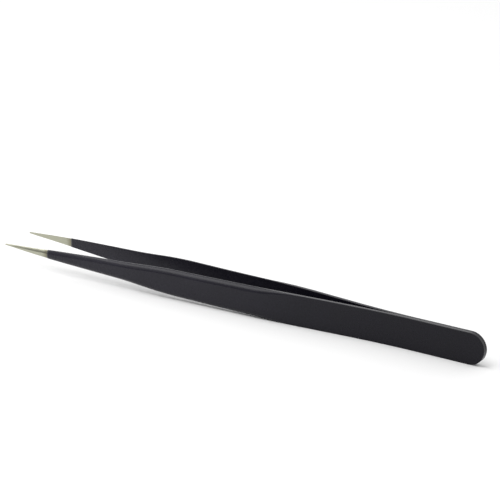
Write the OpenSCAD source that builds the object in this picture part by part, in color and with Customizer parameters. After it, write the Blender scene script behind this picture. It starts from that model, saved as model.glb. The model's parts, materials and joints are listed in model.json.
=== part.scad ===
// Precision tweezers with fine straight points: two bowed spring steel arms, welded together at the
// tail and coated black up to the bare points. They stand on their narrow edges, points towards +X,
// left arm on the +Y side, with the origin under the middle of the length.
// Stations along the tweezers are measured in mm from the tail end.

/* [Overall] */
// Length from the tail end to the points
total_l = 140; // [134:1:150]
// Thickness of the black coating
coat_t = 0.07; // [0.05:0.01:0.12]

/* [Side outline] */
// Height of the arms from the rounded tail to the belly
tail_h = 8.2; // [7.8:0.1:9]
// Station of the belly, where the arms start to get narrower
belly_s = 52; // [52:1:62]
// Height of the arms at the shoulder, where the taper starts
shoulder_h = 6.9; // [6.6:0.1:7.2]
// Station of the shoulder
shoulder_s = 90.5; // [88:0.5:92]
// Height of the arms at the waist, where the steep taper ends
waist_h = 4.9; // [4.5:0.05:5.2]
// Station of the waist
waist_s = 102; // [100:1:104]
// Height of the very point, coating included
tip_h = 0.5; // [0.4:0.05:0.6]
// How far the sides of the nose bulge past straight lines, over both sides
nose_bulge = 0.32; // [0:0.02:0.4]
// How far the middle of the nose lies above the middle of the tail
nose_lift = 0.18; // [0:0.02:0.3]

/* [Bow] */
// Station where the welded tail ends and the arms part
fork_s = 19; // [17:1:22]
// Station where the spring opens fastest
spring_s = 48; // [46:1:50]
// Half gap between the bare arms there
spring_gap = 1.77; // [1.6:0.01:1.9]
// Station where the grip starts
grip_s = 66; // [64:1:70]
// Half gap between the bare arms there
grip_gap = 2.92; // [2.7:0.01:3.1]
// Half gap between the bare arms in front of the shoulder
nose_gap = 3.94; // [3.7:0.01:4.1]
// Station where the points start to run parallel
point_s = 126; // [124:1:128]
// Half gap between the bare arms there
point_gap = 5.02; // [4.9:0.01:5.1]
// Half gap between the very points
tip_gap = 5.13; // [5:0.01:5.2]

/* [Thickness] */
// Thickness of the bare steel in the tail and the spring
leaf_t = 0.76; // [0.6:0.02:0.8]
// Thickness of the bare steel at the grip
grip_t = 1.3; // [1.2:0.05:1.6]
// Thickness of the very point
tip_t = 0.3; // [0.2:0.05:0.4]
// Flat left on the edge above the long bevel
land_t = 0.12; // [0.1:0.02:0.3]
// Height of the long rounded bevel at the grip
bevel_h = 1.25; // [0.8:0.05:1.4]

/* [Coating and welds] */
// Length of bare steel in front of the coating
bare_l = 14; // [10:0.5:15]
// Diameter of each spot weld
weld_d = 3; // [2:0.5:4]
// Length of each spot weld, half in each arm
weld_l = 0.6; // [0.4:0.1:0.8]

/* [Hidden] */
$fn = 64;

tail_r = tail_h / 2;
coat_end = total_l - bare_l;
rear_weld_s = 6.5;
front_weld_s = 14.5;

// The half gap's stations, values and slopes, from the fork to the points
bow = [[fork_s, 0, 0], [spring_s, spring_gap, 0.09], [grip_s, grip_gap, 0.028],
       [98, nose_gap, 0.012], [point_s, point_gap, 0.043], [total_l, tip_gap, 0]];

// The arm flexes about this line, and its heel and front part meet there in a rounded joint
pivot_s = 42;
pivot_y = gap(pivot_s) + leaf_t / 2;
knuckle_r = leaf_t / 2 + coat_t;
knuckle_clearance = 0.02;

// Corners of the arm's height along its length: station, height and length of the rounding
outline = [[tail_r, tail_h, 0], [belly_s, tail_h, 8], [shoulder_s, shoulder_h, 5],
           [waist_s, waist_h, 5], [total_l, tip_h, 0]];

// The middle of the arm rises between these stations
lift_start = 70;
lift_full = 105;

// The long bevel grows between these stations, on an arm that thickens with it
bevel_start = 49;
bevel_full = 64;
thin_from = 98;
edge_break = 0.06;
bevel_angles = [0, 30, 60, 90];

heel_end = 44;
heel_stations = [0, fork_s, 21, 22, 24, 26, 28, 30, 32, 34, 36, 38, 40, 42, heel_end];
arm_stations = [for (s = [41 : 3 : coat_end - 1]) s];
bare_stations = [for (i = [0 : 4]) coat_end + i * bare_l / 4];

function smooth(u) = u <= 0 ? 0 : u >= 1 ? 1 : u * u * (3 - 2 * u);
function reversed(list) = [for (i = [len(list) - 1 : -1 : 0]) list[i]];

// Cubic between two stations with a value and a slope at each
function cubic(s, s0, s1, v0, v1, m0, m1) =
    let (l = s1 - s0, u = (s - s0) / l)
    (2 * u ^ 3 - 3 * u ^ 2 + 1) * v0 + (u ^ 3 - 2 * u ^ 2 + u) * l * m0
    + (3 * u ^ 2 - 2 * u ^ 3) * v1 + (u ^ 3 - u ^ 2) * l * m1;

// Distance run past a rounded corner
function past(s, corner, r) =
    s < corner - r ? 0 : s > corner + r ? s - corner : (s - corner + r) ^ 2 / (4 * r);

// Half gap between the bare steel arms
function gap(s, k = 0) =
    s <= fork_s ? 0
    : s > bow[k + 1][0] && k < len(bow) - 2 ? gap(s, k + 1)
    : cubic(s, bow[k][0], bow[k + 1][0], bow[k][1], bow[k + 1][1], bow[k][2], bow[k + 1][2]);

// Slope of the height after a corner of its outline, and the sum of the turns at its corners
function slope(k) = (outline[k + 1][1] - outline[k][1]) / (outline[k + 1][0] - outline[k][0]);
function turns(s, k = 1) =
    k > len(outline) - 2 ? 0
    : (slope(k) - slope(k - 1)) * past(s, outline[k][0], outline[k][2]) + turns(s, k + 1);

// Half the height of the coated arm
function half_h(s) =
    let (u = max(0, (s - waist_s) / (total_l - waist_s)))
    (tail_h + slope(0) * (s - tail_r) + turns(s) + 4 * nose_bulge * u * (1 - u)) / 2;

// Height of the arm's middle above the middle of the tail
function lift(s) = nose_lift * smooth((s - lift_start) / (lift_full - lift_start));

// Thickness of the bare steel, the flat on its edge and the height of its bevel
function thick(s) =
    s < thin_from ? leaf_t + (grip_t - leaf_t) * smooth((s - bevel_start) / (bevel_full - bevel_start))
    : tip_t + (grip_t - tip_t) * (total_l - s) / (total_l - thin_from);
function land(s) =
    let (full = min(land_t, thick(s) / 3))
    full + (thick(s) - edge_break - full) * (1 - smooth((s - bevel_start) / (bevel_full - bevel_start)));
function bevel(s) =
    let (full = min(bevel_h, 0.84 * (half_h(s) - coat_t)))
    edge_break + (full - edge_break) * smooth((s - bevel_start) / (bevel_full - bevel_start));

// Section of the left arm at a station: its inner face, then the rounded bevels of its outer face.
// skin is 0 for the steel and coat_t for the coated arm.
function section(s, skin) =
    let (h = half_h(s) - coat_t + skin,
         inner = gap(s) - skin,
         edge = gap(s) + land(s) + skin / 2,
         outer = gap(s) + thick(s) + skin,
         drop = bevel(s) + skin / 2,
         corner = [for (a = bevel_angles) [edge + (outer - edge) * sin(a), h - drop * (1 - cos(a))]])
    concat([[inner, -h]], [for (p = corner) [p[0], -p[1]]], reversed(corner), [[inner, h]]);

// Solid through the sections at a list of stations
module loft(stations, skin) {
    n = len(section(stations[0], skin));
    last = len(stations) - 1;
    points = [for (s = stations, p = section(s, skin)) [s, p[0], tail_r + lift(s) + p[1]]];
    walls = [for (i = [0 : last - 1], k = [0 : n - 1])
             let (a = i * n + k, b = i * n + (k + 1) % n)
             each [[a, b + n, b], [a, a + n, b + n]]];
    caps = [for (k = [1 : n - 2]) each [[0, k, k + 1], [last * n, last * n + k + 1, last * n + k]]];
    polyhedron(points, concat(walls, caps));
}

module from_tail() {
    translate([-total_l / 2, 0, 0]) children();
}

// Everything in front of the flex line, ending in a round knuckle
module front_part(radius) {
    translate([pivot_s, -10, -10]) cube([total_l, 30, 30]);
    translate([pivot_s, pivot_y, -10]) cylinder(h = 30, r = radius);
}

// Outline of the heel from the side: a rounded end and straight edges
module heel_side(inset) {
    rotate([90, 0, 0]) translate([0, 0, -10]) linear_extrude(20) {
        translate([tail_r, tail_r]) circle(tail_r - inset);
        translate([tail_r, inset]) square([heel_end - tail_r, tail_h - 2 * inset]);
    }
}

module heel_plan(skin) {
    inner = [for (s = heel_stations) [s, max(gap(s) - skin, 0)]];
    outer = [for (s = heel_stations) [s, gap(s) + leaf_t + skin]];
    translate([0, 0, -10]) linear_extrude(30) polygon(concat(inner, reversed(outer)));
}

module heel_blank(skin) {
    difference() {
        intersection() {
            heel_plan(skin);
            heel_side(coat_t - skin);
        }
        front_part(knuckle_r + knuckle_clearance);
    }
}

module weld_at(s) {
    translate([s, 0, tail_r]) rotate([90, 0, 0]) cylinder(h = weld_l, d = weld_d, center = true);
}

module heel_steel() {
    difference() {
        heel_blank(0);
        weld_at(rear_weld_s);
        weld_at(front_weld_s);
    }
}

module heel_coat() {
    difference() {
        heel_blank(coat_t);
        intersection() {
            heel_plan(0);
            heel_side(coat_t);
        }
    }
}

module arm_steel() {
    intersection() {
        loft(concat(arm_stations, bare_stations), 0);
        front_part(knuckle_r);
    }
}

module arm_coat() {
    intersection() {
        difference() {
            loft(concat(arm_stations, [coat_end]), coat_t);
            loft(concat([40], arm_stations, bare_stations), 0);
        }
        front_part(knuckle_r);
    }
}

module left_heel_steel() {
    color("silver") from_tail() heel_steel();
}

module left_heel_coat() {
    color([0.13, 0.13, 0.15]) from_tail() heel_coat();
}

module right_heel_steel() {
    color("silver") mirror([0, 1, 0]) from_tail() heel_steel();
}

module right_heel_coat() {
    color([0.13, 0.13, 0.15]) mirror([0, 1, 0]) from_tail() heel_coat();
}

module left_arm_steel() {
    color("silver") from_tail() arm_steel();
}

module left_arm_coat() {
    color([0.13, 0.13, 0.15]) from_tail() arm_coat();
}

module right_arm_steel() {
    color("silver") mirror([0, 1, 0]) from_tail() arm_steel();
}

module right_arm_coat() {
    color([0.13, 0.13, 0.15]) mirror([0, 1, 0]) from_tail() arm_coat();
}

module rear_weld() {
    color("gray") from_tail() weld_at(rear_weld_s);
}

module front_weld() {
    color("gray") from_tail() weld_at(front_weld_s);
}

left_heel_steel();
left_heel_coat();
right_heel_steel();
right_heel_coat();
left_arm_steel();
left_arm_coat();
right_arm_steel();
right_arm_coat();
rear_weld();
front_weld();
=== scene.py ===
import json
import math

import bmesh
import bpy
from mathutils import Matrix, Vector


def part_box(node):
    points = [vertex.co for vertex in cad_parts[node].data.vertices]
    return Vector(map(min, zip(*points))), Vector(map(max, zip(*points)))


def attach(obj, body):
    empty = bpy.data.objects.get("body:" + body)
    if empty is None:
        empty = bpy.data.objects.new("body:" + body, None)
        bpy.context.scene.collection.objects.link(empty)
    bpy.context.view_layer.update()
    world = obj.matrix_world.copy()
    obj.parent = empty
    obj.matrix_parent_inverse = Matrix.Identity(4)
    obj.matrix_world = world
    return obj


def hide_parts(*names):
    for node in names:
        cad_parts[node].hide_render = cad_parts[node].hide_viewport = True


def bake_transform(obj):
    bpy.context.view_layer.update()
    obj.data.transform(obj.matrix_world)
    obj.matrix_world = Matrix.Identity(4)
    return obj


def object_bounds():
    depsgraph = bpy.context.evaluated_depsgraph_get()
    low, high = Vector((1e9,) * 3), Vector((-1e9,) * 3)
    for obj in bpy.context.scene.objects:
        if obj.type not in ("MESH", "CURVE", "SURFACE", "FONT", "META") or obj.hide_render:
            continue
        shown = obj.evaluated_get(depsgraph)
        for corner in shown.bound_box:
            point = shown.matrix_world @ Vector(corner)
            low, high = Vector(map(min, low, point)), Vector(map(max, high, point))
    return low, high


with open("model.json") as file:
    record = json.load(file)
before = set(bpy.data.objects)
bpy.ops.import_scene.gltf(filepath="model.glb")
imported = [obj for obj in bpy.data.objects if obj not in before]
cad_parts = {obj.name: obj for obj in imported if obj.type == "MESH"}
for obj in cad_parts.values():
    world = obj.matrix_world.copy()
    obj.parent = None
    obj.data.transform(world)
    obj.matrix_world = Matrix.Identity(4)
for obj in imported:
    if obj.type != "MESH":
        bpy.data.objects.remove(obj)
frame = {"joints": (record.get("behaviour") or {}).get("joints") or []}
cad_low, cad_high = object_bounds()

MM = 0.001

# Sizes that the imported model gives, in mm
TAIL_X = cad_low.x / MM
TOTAL_L = (cad_high.x - cad_low.x) / MM
TAIL_H = (cad_high.z - cad_low.z) / MM
TAIL_R = TAIL_H / 2
COAT_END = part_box("left_arm_coat")[1].x / MM - TAIL_X
PIVOT_S = frame["joints"][0]["pos_m"][0] / MM - TAIL_X

# Sizes of the design, in mm
COAT_T = 0.07
SHOULDER_S, SHOULDER_H = 90.5, 6.9
WAIST_S, WAIST_H = 102, 4.9
BELLY_S = 52
TIP_H = 0.5
NOSE_BULGE = 0.32
NOSE_LIFT = 0.18
LIFT_START, LIFT_FULL = 70, 105
FORK_S = 19
LEAF_T, GRIP_T, TIP_T = 0.76, 1.3, 0.3
THIN_FROM = 98
LAND_T = 0.12
BEVEL_H = 1.25
BEVEL_START, BEVEL_FULL = 49, 64
EDGE_BREAK = 0.06
BEVEL_SHARE = 0.84

# The half gap between the bare arms: station, value and slope, from the fork to the points
BOW = [(FORK_S, 0, 0), (48, 1.77, 0.09), (66, 2.92, 0.028), (98, 3.94, 0.012), (126, 5.02, 0.043),
       (TOTAL_L, 5.13, 0)]

# Corners of the coated arm's height: station, height and length of the rounding
OUTLINE = [(TAIL_R, TAIL_H, 0), (BELLY_S, TAIL_H, 8), (SHOULDER_S, SHOULDER_H, 5),
           (WAIST_S, WAIST_H, 5), (TOTAL_L, TIP_H, 0)]


def smooth(u):
    u = min(max(u, 0), 1)
    return u * u * (3 - 2 * u)


def cubic(s, start, end):
    (s0, v0, m0), (s1, v1, m1) = start, end
    span = s1 - s0
    u = (s - s0) / span
    return ((2 * u ** 3 - 3 * u ** 2 + 1) * v0 + (u ** 3 - 2 * u ** 2 + u) * span * m0
            + (3 * u ** 2 - 2 * u ** 3) * v1 + (u ** 3 - u ** 2) * span * m1)


def half_gap(s):
    """Half the gap between the bare arms."""
    if s <= FORK_S:
        return 0
    for start, end in zip(BOW, BOW[1:]):
        if s <= end[0]:
            return cubic(s, start, end)
    return BOW[-1][1]


def past(s, corner, r):
    """Distance run past a rounded corner."""
    if s <= corner - r:
        return 0
    return s - corner if s >= corner + r else (s - corner + r) ** 2 / (4 * r)


def half_height(s):
    """Half the height of the coated arm between its two rounded ends."""
    slopes = [(b[1] - a[1]) / (b[0] - a[0]) for a, b in zip(OUTLINE, OUTLINE[1:])]
    height = TAIL_H + slopes[0] * (s - TAIL_R)
    for before, after, (corner, _, r) in zip(slopes, slopes[1:], OUTLINE[1:]):
        height += (after - before) * past(s, corner, r)
    u = max(0, (s - WAIST_S) / (TOTAL_L - WAIST_S))
    return (height + 4 * NOSE_BULGE * u * (1 - u)) / 2


def lift(s):
    """Height of the arm's middle above the middle of the tail."""
    return NOSE_LIFT * smooth((s - LIFT_START) / (LIFT_FULL - LIFT_START))


def thickness(s):
    if s < THIN_FROM:
        return LEAF_T + (GRIP_T - LEAF_T) * smooth((s - BEVEL_START) / (BEVEL_FULL - BEVEL_START))
    return TIP_T + (GRIP_T - TIP_T) * max(0, TOTAL_L - s) / (TOTAL_L - THIN_FROM)


# Places along the outline

FACE_ROWS = [0.04, 0.2, 0.4, 0.6, 0.8, 0.96]
EDGE_ANGLES = [0, 20, 40, 65, 90]
BEVEL_ANGLES = [0, 8, 16, 24, 32, 40, 48, 56, 64, 72, 80, 86, 90]
TAIL_ANGLES = [0, 4, 9, 15, 22, 29, 36, 43, 50, 57, 64, 71, 78, 84, 90]
TIP_ANGLES = [80, 65, 50, 35, 20, 8, 0]

# Steps along the arm, in mm: on the sides, on the nose, to either side of a place for its slope, and
# the least that is left before the end
SIDE_STEP, NOSE_STEP, SLOPE_STEP, LAST_STEP = 1, 0.7, 0.01, 0.3

# The least distance of an arm from the middle plane, and the coating's clearance over the steel
SEAM = 0.002
COAT_LINING = 0.004

# Rounding of the arms' inner edges, which gets nearly sharp where the half gap closes
STEEL_EDGE_R, COAT_EDGE_R, MEETING_EDGE_R = 0.04, 0.11, 0.02
ROUND_FROM_GAP = 0.3

# Power that shapes the bevel, from 1 for round to 2 for a flat chamfer: at the grip and at the points
BEVEL_POWER, NOSE_BEVEL_POWER = 1.18, 1.5
FLATTER_START, FLATTER_FULL = 110, 135

# How the thickness closes round the very point
POINT_POWER = 0.8

# The coating's front lip: distance behind its end, share of its thickness and rounding of its edge
LIP = [(0.06, 1, COAT_EDGE_R), (0.02, 0.85, 0.1), (0, 0.55, 0.08)]

# Half gap below which the arms lie on each other, with no coating between them
CLOSED_GAP = 0.02


def tail_places():
    """Places round the half circle of the tail: station, half height, outward normal and how much of
    the thickness is left."""
    for angle in TAIL_ANGLES:
        a = math.radians(angle)
        yield TAIL_R * (1 - math.cos(a)), TAIL_R * math.sin(a), -math.cos(a), math.sin(a), 1


def side_places(end):
    """Places along the straight and tapered sides, up to a station."""
    s = TAIL_R + SIDE_STEP
    while s < end - LAST_STEP:
        rise = (half_height(s + SLOPE_STEP) - half_height(s - SLOPE_STEP)) / (2 * SLOPE_STEP)
        length = math.hypot(1, rise)
        yield s, half_height(s), -rise / length, 1 / length, 1
        s += SIDE_STEP if s < THIN_FROM else NOSE_STEP


def point_places():
    """Places round the very point, which closes to nothing."""
    r = half_height(TOTAL_L) - COAT_T
    for angle in TIP_ANGLES:
        a = math.radians(angle)
        yield (TOTAL_L - r + (r + COAT_T) * math.cos(a), (r + COAT_T) * math.sin(a), math.cos(a),
               math.sin(a), math.sin(a) ** POINT_POWER)


def place_at(s):
    return s, half_height(s), 0, 1, 1


# Rings round the arm

def walls(s, skin):
    """Distance from the middle plane to the inner face, to the start of the bevel and to the outer face."""
    thick = thickness(s)
    land = min(LAND_T, thick / 3)
    plain = 1 - smooth((s - BEVEL_START) / (BEVEL_FULL - BEVEL_START))
    land += (thick - EDGE_BREAK - land) * plain
    gap = half_gap(s)
    return max(gap - skin, SEAM), gap + land + skin / 2, gap + thick + skin


def bevel_drop(s, skin):
    full = min(BEVEL_H, BEVEL_SHARE * (half_height(min(s, TOTAL_L)) - COAT_T))
    share = smooth((s - BEVEL_START) / (BEVEL_FULL - BEVEL_START))
    return EDGE_BREAK + (full - EDGE_BREAK) * share + skin / 2


def inner_edge_r(s, edge_r):
    """Rounding of the inner edge, which is nearly sharp where the two arms lie on each other."""
    return MEETING_EDGE_R + (edge_r - MEETING_EDGE_R) * smooth(half_gap(s) / ROUND_FROM_GAP)


def rim(place, skin, edge_r):
    """Points of the upper edge at a place, from the inner face over to the outer face: station, distance
    from the middle plane and height over the middle of the arm."""
    s, h, along, up, squeeze = place
    inset = COAT_T - skin
    drop = bevel_drop(s, skin)
    flatter = smooth((s - FLATTER_START) / (FLATTER_FULL - FLATTER_START))
    power = BEVEL_POWER + (NOSE_BEVEL_POWER - BEVEL_POWER) * flatter
    edge_r = inner_edge_r(s, edge_r)
    points = []
    for angle in EDGE_ANGLES:
        depth = edge_r * (1 - math.sin(math.radians(angle)))
        x = s - (inset + depth) * along
        inner = walls(x, skin)[0]
        points.append((x, inner + edge_r * (1 - math.cos(math.radians(angle))), h - (inset + depth) * up))
    for angle in BEVEL_ANGLES:
        a = math.radians(angle)
        depth = drop * (1 - math.cos(a) ** power)
        x = s - (inset + depth) * along
        _, edge, outer = walls(x, skin)
        points.append((x, edge + (outer - edge) * math.sin(a) ** power, h - (inset + depth) * up))
    inner, _, outer = walls(s, skin)
    middle = (inner + outer) / 2
    return [(x, middle + (y - middle) * squeeze, z) for x, y, z in points]


def ring(place, skin, edge_r):
    """Closed ring: up the inner face, over the upper edge, down the outer face and back under."""
    top = rim(place, skin, edge_r)
    bottom = [(x, y, -z) for x, y, z in top]

    def rows(start, end):
        return [tuple(a + (b - a) * share for a, b in zip(start, end)) for share in FACE_ROWS]

    return rows(bottom[0], top[0]) + top + rows(top[-1], bottom[-1]) + bottom[::-1]


def to_metres(point, side):
    x, y, z = point
    return ((TAIL_X + x) * MM, side * y * MM, (TAIL_R + lift(x) + z) * MM + cad_low.z)


def to_piece(name, bm):
    """Smoothly shaded object from a finished mesh."""
    bmesh.ops.recalc_face_normals(bm, faces=bm.faces)
    mesh = bpy.data.meshes.new(name)
    bm.to_mesh(mesh)
    bm.free()
    for polygon in mesh.polygons:
        polygon.use_smooth = True
    piece = bpy.data.objects.new(name, mesh)
    bpy.context.scene.collection.objects.link(piece)
    return piece


# Points closer than this become one, and shorter edges are taken out, in metres
WELD_DISTANCE, LEAST_EDGE = 2e-7, 1e-8


def skin_mesh(name, rings, side, skipped=lambda i, k: False, extra=()):
    """Mesh through a list of rings with the same number of points. skipped says which cells stay open,
    and extra lists faces that close them, as (ring, point) pairs."""
    bm = bmesh.new()
    rows = [[bm.verts.new(to_metres(p, side)) for p in points] for points in rings]
    n = len(rows[0])
    for i in range(len(rows) - 1):
        for k in range(n):
            if not skipped(i, k):
                bm.faces.new((rows[i][k], rows[i][(k + 1) % n], rows[i + 1][(k + 1) % n], rows[i + 1][k]))
    for face in extra:
        bm.faces.new([rows[i][k] for i, k in face])
    bmesh.ops.remove_doubles(bm, verts=bm.verts, dist=WELD_DISTANCE)
    bmesh.ops.dissolve_degenerate(bm, edges=bm.edges, dist=LEAST_EDGE)
    return to_piece(name, bm)


def steel_arm(name, side):
    """One arm's bare steel, from the tail to the very point."""
    places = [*tail_places(), *side_places(TOTAL_L), *point_places()]
    return skin_mesh(name, [ring(p, 0, STEEL_EDGE_R) for p in places], side)


def coating(name, side):
    """The coating of one arm: a thin closed shell that is open in front, where the steel runs out, and
    on the inner face of the tail, where steel lies on steel."""
    places = [*tail_places(), *side_places(COAT_END)]
    outer = [ring(p, COAT_T, COAT_EDGE_R) for p in places]
    lip = [ring(place_at(COAT_END - back), COAT_T * share, edge_r) for back, share, edge_r in LIP]
    lip.append(ring(place_at(COAT_END), COAT_LINING, STEEL_EDGE_R))
    inner = [ring(p, COAT_LINING, STEEL_EDGE_R) for p in places]
    rings = outer + lip + inner[::-1]
    last = len(rings) - 1
    n = len(rings[0])
    closed = sum(1 for s, *_ in places if half_gap(s) < CLOSED_GAP)
    rows = len(FACE_ROWS)
    seam = [n - 1, *range(rows + 1)]

    def skipped(i, k):
        return k in seam[:-1] and (i < closed or i >= last - closed)

    def bridge(i, k, j, m):
        return [(i, k), (j, m), (last - j, m), (last - i, k)]

    extra = [bridge(i, k, i + 1, k) for i in range(closed) for k in (seam[0], seam[-1])]
    extra += [bridge(closed, a, closed, b) for a, b in zip(seam, seam[1:])]
    return skin_mesh(name, rings, side, skipped, extra)


# Rows from face to face of a nugget, points round it, and how full its rim is
LENS_ROWS, LENS_TURNS, LENS_POWER = 18, 48, 0.7


def lens(name, node, share):
    """A weld nugget: thick in the middle and thin at its rim, in the place of its CAD solid. share is
    its size against that solid's."""
    low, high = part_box(node)
    centre = (low + high) / 2
    radius, half = (high.x - low.x) / 2 * share, (high.y - low.y) / 2 * share
    bm = bmesh.new()
    circles = []
    for i in range(1, LENS_ROWS):
        a = math.pi * i / LENS_ROWS
        r, y = radius * math.sin(a) ** LENS_POWER, -half * math.cos(a)
        circles.append([bm.verts.new((centre.x + r * math.cos(t), centre.y + y, centre.z + r * math.sin(t)))
                        for t in (2 * math.pi * j / LENS_TURNS for j in range(LENS_TURNS))])
    for near, far in zip(circles, circles[1:]):
        for j in range(LENS_TURNS):
            bm.faces.new((near[j], near[(j + 1) % LENS_TURNS], far[(j + 1) % LENS_TURNS], far[j]))
    for circle, y in ((circles[0], -half), (circles[-1], half)):
        pole = bm.verts.new((centre.x, centre.y + y, centre.z))
        for j in range(LENS_TURNS):
            bm.faces.new((circle[j], circle[(j + 1) % LENS_TURNS], pole))
    return to_piece(name, bm)


def cut(piece, tool):
    """Takes the tool's shape out of a piece."""
    modifier = piece.modifiers.new("cut", "BOOLEAN")
    modifier.operation = "DIFFERENCE"
    modifier.solver = "EXACT"
    modifier.object = tool
    shown = piece.evaluated_get(bpy.context.evaluated_depsgraph_get())
    mesh = bpy.data.meshes.new_from_object(shown)
    piece.modifiers.clear()
    piece.data = mesh


# Materials

def new_material(name):
    material = bpy.data.materials.new(name)
    material.use_nodes = True
    return material, material.node_tree, material.node_tree.nodes["Principled BSDF"]


def places_in_mm(tree, stretch=(1, 1, 1)):
    """Object coordinates in mm, with fewer grains along an axis whose stretch is low."""
    coordinates = tree.nodes.new("ShaderNodeTexCoord")
    mapping = tree.nodes.new("ShaderNodeMapping")
    mapping.inputs["Scale"].default_value = [s / MM for s in stretch]
    tree.links.new(coordinates.outputs["Object"], mapping.inputs["Vector"])
    return mapping.outputs["Vector"]


def noise(tree, places, grains_per_mm, detail=2):
    texture = tree.nodes.new("ShaderNodeTexNoise")
    texture.inputs["Scale"].default_value = grains_per_mm
    texture.inputs["Detail"].default_value = detail
    tree.links.new(places, texture.inputs["Vector"])
    return texture.outputs["Fac"]


NOISE_LOW, NOISE_HIGH = 0.3, 0.7


def spread(tree, value, low, high):
    """Turns noise round a half into values between low and high."""
    node = tree.nodes.new("ShaderNodeMapRange")
    node.inputs["From Min"].default_value = NOISE_LOW
    node.inputs["From Max"].default_value = NOISE_HIGH
    node.inputs["To Min"].default_value = low
    node.inputs["To Max"].default_value = high
    tree.links.new(value, node.inputs["Value"])
    return node.outputs["Result"]


def ramp(tree, value, start, end, low, high):
    """Smooth step from low to high as the value runs from start to end."""
    node = tree.nodes.new("ShaderNodeMapRange")
    node.interpolation_type = "SMOOTHSTEP"
    for name, number in (("From Min", start), ("From Max", end), ("To Min", low), ("To Max", high)):
        node.inputs[name].default_value = number
    tree.links.new(value, node.inputs["Value"])
    return node.outputs["Result"]


def blend_colours(tree, share, first, second):
    node = tree.nodes.new("ShaderNodeMix")
    node.data_type = "RGBA"
    for name, value in (("A", first), ("B", second)):
        socket = next(s for s in node.inputs if s.name == name and s.type == "RGBA")
        if isinstance(value, tuple):
            socket.default_value = (*value, 1)
        else:
            tree.links.new(value, socket)
    tree.links.new(share, node.inputs["Factor"])
    return next(s for s in node.outputs if s.type == "RGBA")


def bump(tree, shader, layers):
    """Stacks bump layers: height, depth in mm."""
    normal = None
    for height, depth in layers:
        node = tree.nodes.new("ShaderNodeBump")
        node.inputs["Distance"].default_value = depth * MM
        tree.links.new(height, node.inputs["Height"])
        if normal:
            tree.links.new(normal, node.inputs["Normal"])
        normal = node.outputs["Normal"]
    tree.links.new(normal, shader.inputs["Normal"])


# Stations between which painted light makes the coating lighter, and where a painted highlight lies on its
# lip, behind its end
PAINTED_LIGHT_SPAN = (10, 125)
PAINTED_HIGHLIGHT_SPAN = (0.5, 0.1)

# Length of the painted shade on the steel in front of the coating, a painted reflection of the coating's
# dark end, and its strength
PAINTED_SHADE_L, PAINTED_SHADE_DEPTH = 1.8, 0.6


def black_coating():
    """Thin satin black coating with a fine orange peel, with painted light that makes it lighter towards
    the points and a painted highlight on its front lip.
    """
    material, tree, shader = new_material("black_coating")
    places = places_in_mm(tree)
    along = tree.nodes.new("ShaderNodeSeparateXYZ")
    tree.links.new(places, along.inputs["Vector"])
    # Painted light: the coating's colour gets lighter towards the points, standing in for the brighter
    # light there
    painted_light_towards_points = ramp(tree, along.outputs["X"], *(TAIL_X + s for s in PAINTED_LIGHT_SPAN), 0, 1)
    colour = blend_colours(tree, painted_light_towards_points, (0.0030, 0.0025, 0.0070), (0.0240, 0.0225, 0.0315))
    # Painted highlight: light grey over the coating's last half mm, where its front edge catches light
    painted_lip_highlight = ramp(tree, along.outputs["X"], *(TAIL_X + COAT_END - back for back in PAINTED_HIGHLIGHT_SPAN), 0, 1)
    colour = blend_colours(tree, painted_lip_highlight, colour, (0.11, 0.11, 0.11))
    patches = spread(tree, noise(tree, places, 0.12, 3), 0, 0.25)
    colour = blend_colours(tree, patches, colour, (0.0030, 0.0028, 0.0040))
    tree.links.new(colour, shader.inputs["Base Color"])
    tree.links.new(spread(tree, noise(tree, places, 0.8, 4), 0.24, 0.31), shader.inputs["Roughness"])
    shader.inputs["IOR"].default_value = 1.31
    bump(tree, shader, [(noise(tree, places, 2.2, 2), 0.006), (noise(tree, places, 9, 2), 0.0015)])
    return material


def bare_steel():
    """Spring steel ground along its length, with painted shade in front of the coating, a painted
    reflection of the coating's dark end.
    """
    material, tree, shader = new_material("bare_steel")
    shader.inputs["Metallic"].default_value = 1
    grain = noise(tree, places_in_mm(tree, (0.25, 9, 9)), 1, 3)
    colour = blend_colours(tree, spread(tree, grain, 0, 1), (0.37, 0.37, 0.29), (0.45, 0.45, 0.36))
    along = tree.nodes.new("ShaderNodeSeparateXYZ")
    tree.links.new(places_in_mm(tree), along.inputs["Vector"])
    painted_shade_x = TAIL_X + COAT_END
    # Painted shade: the steel is darkened just in front of the coating, a painted reflection of the
    # coating's dark end
    painted_shade = ramp(tree, along.outputs["X"], painted_shade_x, painted_shade_x + PAINTED_SHADE_L, PAINTED_SHADE_DEPTH, 0)
    colour = blend_colours(tree, painted_shade, colour, (0.13, 0.11, 0.06))
    tree.links.new(colour, shader.inputs["Base Color"])
    tree.links.new(spread(tree, grain, 0.26, 0.40), shader.inputs["Roughness"])
    bump(tree, shader, [(grain, 0.0012)])
    return material


def weld_metal():
    """Dull fused steel with a bluish cast."""
    material, tree, shader = new_material("weld_metal")
    shader.inputs["Metallic"].default_value = 1
    places = places_in_mm(tree)
    colour = blend_colours(tree, spread(tree, noise(tree, places, 1.2, 4), 0, 1),
                           (0.36, 0.34, 0.33), (0.24, 0.26, 0.32))
    tree.links.new(colour, shader.inputs["Base Color"])
    grain = noise(tree, places, 5, 3)
    tree.links.new(spread(tree, grain, 0.45, 0.65), shader.inputs["Roughness"])
    bump(tree, shader, [(grain, 0.01)])
    return material


def pale_floor():
    material, tree, shader = new_material("pale_floor")
    shader.inputs["Base Color"].default_value = (0.86, 0.86, 0.86, 1)
    shader.inputs["Roughness"].default_value = 1
    shader.inputs["Specular IOR Level"].default_value = 0
    return material


# Stage, light and camera

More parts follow.
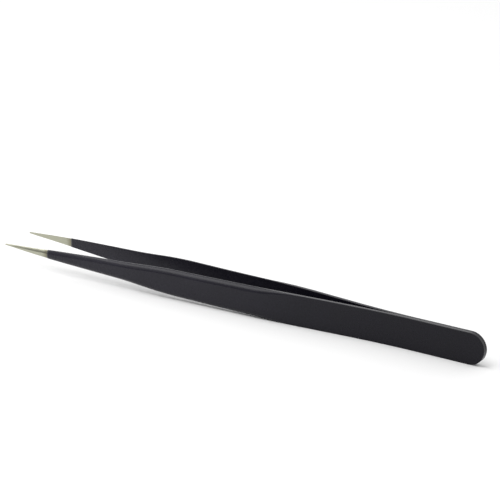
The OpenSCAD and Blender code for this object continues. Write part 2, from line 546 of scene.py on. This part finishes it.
# Metres and degrees; the lens and sensor are in mm
FLOOR_SIZE = 6
CAMERA_AZIMUTH, CAMERA_ELEVATION, CAMERA_DISTANCE = 32.79, 20.88, 0.6229
CAMERA_AIM = Vector((-0.00349, 0, 0.0161))
LENS, SENSOR = 180, 36
NEAR_CLIP = 0.01
KEY_PLACE, KEY_SIZE, KEY_POWER = (0.22, 0.12, 0.55), 0.5, 2.45

# Level direction from the camera to the tweezers
BACK = Vector((math.sin(math.radians(CAMERA_AZIMUTH)), -math.cos(math.radians(CAMERA_AZIMUTH)), 0))


def floor():
    mesh = bpy.data.meshes.new("floor")
    half = FLOOR_SIZE / 2
    corners = [(-half, -half), (half, -half), (half, half), (-half, half)]
    mesh.from_pydata([(x, y, cad_low.z) for x, y in corners], [], [(0, 1, 2, 3)])
    mesh.materials.append(pale_floor())
    piece = bpy.data.objects.new("floor", mesh)
    bpy.context.scene.collection.objects.link(piece)


def studio_sky():
    """White behind the tweezers, and dark low down in front of them, where the room is."""
    world = bpy.data.worlds.new("studio")
    world.use_nodes = True
    bpy.context.scene.world = world
    tree = world.node_tree
    coordinates = tree.nodes.new("ShaderNodeTexCoord")
    parts = tree.nodes.new("ShaderNodeSeparateXYZ")
    tree.links.new(coordinates.outputs["Generated"], parts.inputs["Vector"])
    facing = tree.nodes.new("ShaderNodeVectorMath")
    facing.operation = "DOT_PRODUCT"
    facing.inputs[1].default_value = BACK
    tree.links.new(coordinates.outputs["Generated"], facing.inputs[0])

    front = ramp(tree, parts.outputs["Z"], 0.06, 0.45, 0.02, 0.72)
    back = ramp(tree, parts.outputs["Z"], 0.4, 0.75, 1.55, 0.72)
    mix = tree.nodes.new("ShaderNodeMix")
    tree.links.new(ramp(tree, facing.outputs["Value"], -0.2, 0.5, 0, 1), mix.inputs["Factor"])
    tree.links.new(front, mix.inputs["A"])
    tree.links.new(back, mix.inputs["B"])
    background = tree.nodes["Background"]
    background.inputs["Color"].default_value = (1, 1, 1, 1)
    tree.links.new(mix.outputs["Result"], background.inputs["Strength"])


def softbox(name, place, aim, size, power):
    light = bpy.data.lights.new(name, "AREA")
    light.size = size
    light.energy = power
    lamp = bpy.data.objects.new(name, light)
    lamp.location = place
    lamp.rotation_euler = (Vector(aim) - Vector(place)).to_track_quat("-Z", "Y").to_euler()
    bpy.context.scene.collection.objects.link(lamp)


def camera():
    azimuth, elevation = math.radians(CAMERA_AZIMUTH), math.radians(CAMERA_ELEVATION)
    toward = Vector((-math.sin(azimuth) * math.cos(elevation), math.cos(azimuth) * math.cos(elevation),
                     math.sin(elevation)))
    data = bpy.data.cameras.new("camera")
    data.lens = LENS
    data.sensor_width = SENSOR
    data.clip_start = NEAR_CLIP
    viewer = bpy.data.objects.new("camera", data)
    viewer.location = CAMERA_AIM + CAMERA_DISTANCE * toward
    viewer.rotation_euler = (-toward).to_track_quat("-Z", "Y").to_euler()
    bpy.context.scene.collection.objects.link(viewer)
    bpy.context.scene.camera = viewer


FINISHES = {"bare_steel": bare_steel(), "black_coating": black_coating(), "weld_metal": weld_metal()}


def finish_piece(piece, slot):
    piece.data.materials.clear()
    piece.data.materials.append(FINISHES[slot])


# Reach on either side of the flex line to the end points worked out for each arm piece, in mm, and the
# nuggets' size against their recesses
BEND = 20
NUGGET_FIT = 0.995

NUGGETS = {"rear_weld_nugget": "rear_weld", "front_weld_nugget": "front_weld"}
recesses = [lens(name + "_recess", node, 1) for name, node in NUGGETS.items()]
for prefix, side in (("left", 1), ("right", -1)):
    steel = steel_arm(prefix + "_steel_arm", side)
    for recess in recesses:
        cut(steel, recess)
    for piece, kind, slot in ((steel, "steel", "bare_steel"),
                              (coating(prefix + "_coating", side), "coat", "black_coating")):
        body = prefix + "_arm"
        finish_piece(piece, slot)
        ends = [((TAIL_X + PIVOT_S + reach) * MM, 0, TAIL_R * MM) for reach in (-BEND, BEND)]
        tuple(ends[0])
        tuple(ends[1])
        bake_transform(piece)
        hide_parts(prefix + "_heel_" + kind, body + "_" + kind)
for recess in recesses:
    bpy.data.objects.remove(recess)
for name, node in NUGGETS.items():
    nugget = lens(name, node, NUGGET_FIT)
    finish_piece(nugget, "weld_metal")
    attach(nugget, "tail")
    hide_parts(node)

floor()
studio_sky()
softbox("key", KEY_PLACE, (0, 0, 0), KEY_SIZE, KEY_POWER)
camera()
bpy.context.scene.view_settings.view_transform = "Standard"
